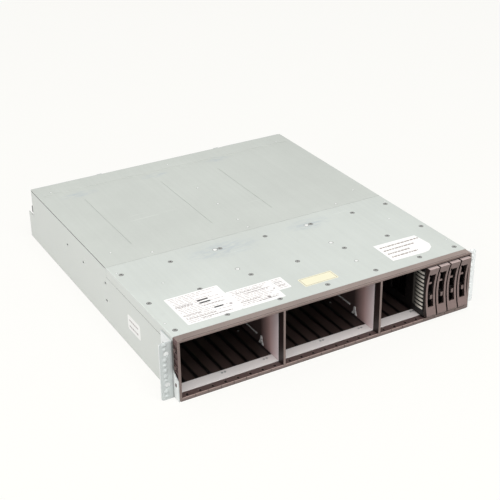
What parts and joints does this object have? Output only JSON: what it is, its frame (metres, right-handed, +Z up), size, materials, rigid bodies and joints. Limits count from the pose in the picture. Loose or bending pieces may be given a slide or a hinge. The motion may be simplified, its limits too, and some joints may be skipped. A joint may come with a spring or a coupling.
{
  "type": "disk shelf enclosure",
  "caption": "Two-unit rack disk shelf with front drive bays, bay fillers with cam levers, rack ears, sliding rear canisters and power supplies.",
  "frame": {"origin": "under the middle of the whole enclosure, on the plane it rests on", "axes": "+X to the right seen from the front, +Y from the drive bays to the rear modules, +Z up"},
  "size_m": [0.4826, 0.5344, 0.087],
  "materials": {
    "plated_sheet": "satin plated sheet",
    "galvanised_sheet": "galvanised sheet",
    "bright_sheet": "satin plated sheet",
    "bezel_plastic": "fine-grained moulding",
    "filler_plastic": "fine-grained moulding",
    "guide_plastic": "plain moulding",
    "spring_steel": "bright spring strip",
    "circuit_board": "solder mask",
    "connector_plastic": "plain moulding",
    "fastener_steel": "plated screw heads",
    "module_sheet": "satin plated sheet",
    "dark_plastic": "plain moulding"
  },
  "bodies": {
    "enclosure": {"base_tray": "plated_sheet", "canister_shelf": "plated_sheet", "cover_screws": "fastener_steel", "divider_clips": "spring_steel", "divider_wall_left": "bright_sheet", "divider_wall_right": "bright_sheet", "drive_connectors": "connector_plastic", "front_bezel": "bezel_plastic", "front_sill": "bright_sheet", "front_top_panel": "plated_sheet", "left_ear_screws": "fastener_steel", "left_rack_ear": "galvanised_sheet", "lower_guide_centre": "guide_plastic", "lower_guide_left": "guide_plastic", "lower_guide_right": "guide_plastic", "midplane_board": "circuit_board", "midplane_rear_connectors": "connector_plastic", "midplane_screws": "fastener_steel", "midplane_stiffener": "plated_sheet", "psu_partition_left": "plated_sheet", "psu_partition_right": "plated_sheet", "rear_top_cover": "plated_sheet", "right_ear_screws": "fastener_steel", "right_rack_ear": "galvanised_sheet", "sill_rivets": "fastener_steel", "upper_guide_centre": "guide_plastic", "upper_guide_left": "guide_plastic", "upper_guide_right": "guide_plastic"},
    "filler_21": {"filler_21_body": "filler_plastic", "filler_21_fingers": "spring_steel"},
    "filler_21_lever": {"filler_21_lever": "filler_plastic"},
    "filler_21_latch": {"filler_21_latch": "filler_plastic"},
    "filler_22": {"filler_22_body": "filler_plastic", "filler_22_fingers": "spring_steel"},
    "filler_22_lever": {"filler_22_lever": "filler_plastic"},
    "filler_22_latch": {"filler_22_latch": "filler_plastic"},
    "filler_23": {"filler_23_body": "filler_plastic", "filler_23_fingers": "spring_steel"},
    "filler_23_lever": {"filler_23_lever": "filler_plastic"},
    "filler_23_latch": {"filler_23_latch": "filler_plastic"},
    "filler_24": {"filler_24_body": "filler_plastic", "filler_24_fingers": "spring_steel"},
    "filler_24_lever": {"filler_24_lever": "filler_plastic"},
    "filler_24_latch": {"filler_24_latch": "filler_plastic"},
    "canister_lower": {"canister_lower_case": "module_sheet", "canister_lower_board": "circuit_board"},
    "canister_lower_ejector_left": {"canister_lower_ejector_left": "dark_plastic"},
    "canister_lower_ejector_right": {"canister_lower_ejector_right": "dark_plastic"},
    "canister_upper": {"canister_upper_case": "module_sheet", "canister_upper_board": "circuit_board"},
    "canister_upper_ejector_left": {"canister_upper_ejector_left": "dark_plastic"},
    "canister_upper_ejector_right": {"canister_upper_ejector_right": "dark_plastic"},
    "psu_left": {"psu_left_case": "module_sheet"},
    "psu_left_fan_rotor": {"psu_left_fan_rotor": "dark_plastic"},
    "psu_left_bail": {"psu_left_bail": "dark_plastic"},
    "psu_left_tab": {"psu_left_tab": "dark_plastic"},
    "psu_right": {"psu_right_case": "module_sheet"},
    "psu_right_fan_rotor": {"psu_right_fan_rotor": "dark_plastic"},
    "psu_right_bail": {"psu_right_bail": "dark_plastic"},
    "psu_right_tab": {"psu_right_tab": "dark_plastic"}
  },
  "joints": [
    {"name": "filler_21_slide", "type": "slide", "parent": "enclosure", "child": "filler_21", "axis": [0, -1, 0], "range_m": [0, 0.11]},
    {"name": "filler_21_lever_hinge", "type": "hinge", "parent": "filler_21", "child": "filler_21_lever", "pos_m": [0.15645, -0.2601, 0.013], "axis": [1, 0, 0], "range_deg": [0, 45]},
    {"name": "filler_21_latch_slide", "type": "slide", "parent": "filler_21", "child": "filler_21_latch", "axis": [-1, 0, 0], "range_m": [0, 0.0015], "stiffness_N_per_m": 300},
    {"name": "filler_22_slide", "type": "slide", "parent": "enclosure", "child": "filler_22", "axis": [0, -1, 0], "range_m": [0, 0.11]},
    {"name": "filler_22_lever_hinge", "type": "hinge", "parent": "filler_22", "child": "filler_22_lever", "pos_m": [0.17435, -0.2601, 0.013], "axis": [1, 0, 0], "range_deg": [0, 45]},
    {"name": "filler_22_latch_slide", "type": "slide", "parent": "filler_22", "child": "filler_22_latch", "axis": [-1, 0, 0], "range_m": [0, 0.0015], "stiffness_N_per_m": 300},
    {"name": "filler_23_slide", "type": "slide", "parent": "enclosure", "child": "filler_23", "axis": [0, -1, 0], "range_m": [0, 0.11]},
    {"name": "filler_23_lever_hinge", "type": "hinge", "parent": "filler_23", "child": "filler_23_lever", "pos_m": [0.19225, -0.2601, 0.013], "axis": [1, 0, 0], "range_deg": [0, 45]},
    {"name": "filler_23_latch_slide", "type": "slide", "parent": "filler_23", "child": "filler_23_latch", "axis": [-1, 0, 0], "range_m": [0, 0.0015], "stiffness_N_per_m": 300},
    {"name": "filler_24_slide", "type": "slide", "parent": "enclosure", "child": "filler_24", "axis": [0, -1, 0], "range_m": [0, 0.11]},
    {"name": "filler_24_lever_hinge", "type": "hinge", "parent": "filler_24", "child": "filler_24_lever", "pos_m": [0.21015, -0.2601, 0.013], "axis": [1, 0, 0], "range_deg": [0, 45]},
    {"name": "filler_24_latch_slide", "type": "slide", "parent": "filler_24", "child": "filler_24_latch", "axis": [-1, 0, 0], "range_m": [0, 0.0015], "stiffness_N_per_m": 300},
    {"name": "canister_lower_slide", "type": "slide", "parent": "enclosure", "child": "canister_lower", "axis": [0, 1, 0], "range_m": [0, 0.28]},
    {"name": "canister_lower_ejector_left_hinge", "type": "hinge", "parent": "canister_lower", "child": "canister_lower_ejector_left", "pos_m": [-0.105, 0.256, 0.0331], "axis": [0, 0, 1], "range_deg": [0, 60]},
    {"name": "canister_lower_ejector_right_hinge", "type": "hinge", "parent": "canister_lower", "child": "canister_lower_ejector_right", "pos_m": [0.105, 0.256, 0.0331], "axis": [0, 0, -1], "range_deg": [0, 60]},
    {"name": "canister_upper_slide", "type": "slide", "parent": "enclosure", "child": "canister_upper", "axis": [0, 1, 0], "range_m": [0, 0.28]},
    {"name": "canister_upper_ejector_left_hinge", "type": "hinge", "parent": "canister_upper", "child": "canister_upper_ejector_left", "pos_m": [-0.105, 0.256, 0.0758], "axis": [0, 0, 1], "range_deg": [0, 60]},
    {"name": "canister_upper_ejector_right_hinge", "type": "hinge", "parent": "canister_upper", "child": "canister_upper_ejector_right", "pos_m": [0.105, 0.256, 0.0758], "axis": [0, 0, -1], "range_deg": [0, 60]},
    {"name": "psu_left_slide", "type": "slide", "parent": "enclosure", "child": "psu_left", "axis": [0, 1, 0], "range_m": [0, 0.28]},
    {"name": "psu_left_fan_spin", "type": "hinge", "parent": "psu_left", "child": "psu_left_fan_rotor", "pos_m": [-0.1512, 0.2259, 0.0451], "axis": [0, 1, 0], "continuous": true},
    {"name": "psu_left_bail_hinge", "type": "hinge", "parent": "psu_left", "child": "psu_left_bail", "pos_m": [-0.1972, 0.2545, 0.0131], "axis": [-1, 0, 0], "range_deg": [0, 90]},
    {"name": "psu_left_tab_slide", "type": "slide", "parent": "psu_left", "child": "psu_left_tab", "axis": [1, 0, 0], "range_m": [0, 0.003], "stiffness_N_per_m": 500},
    {"name": "psu_right_slide", "type": "slide", "parent": "enclosure", "child": "psu_right", "axis": [0, 1, 0], "range_m": [0, 0.28]},
    {"name": "psu_right_fan_spin", "type": "hinge", "parent": "psu_right", "child": "psu_right_fan_rotor", "pos_m": [0.1832, 0.2259, 0.0451], "axis": [0, 1, 0], "continuous": true},
    {"name": "psu_right_bail_hinge", "type": "hinge", "parent": "psu_right", "child": "psu_right_bail", "pos_m": [0.1372, 0.2545, 0.0131], "axis": [-1, 0, 0], "range_deg": [0, 90]},
    {"name": "psu_right_tab_slide", "type": "slide", "parent": "psu_right", "child": "psu_right_tab", "axis": [1, 0, 0], "range_m": [0, 0.003], "stiffness_N_per_m": 500}
  ]
}
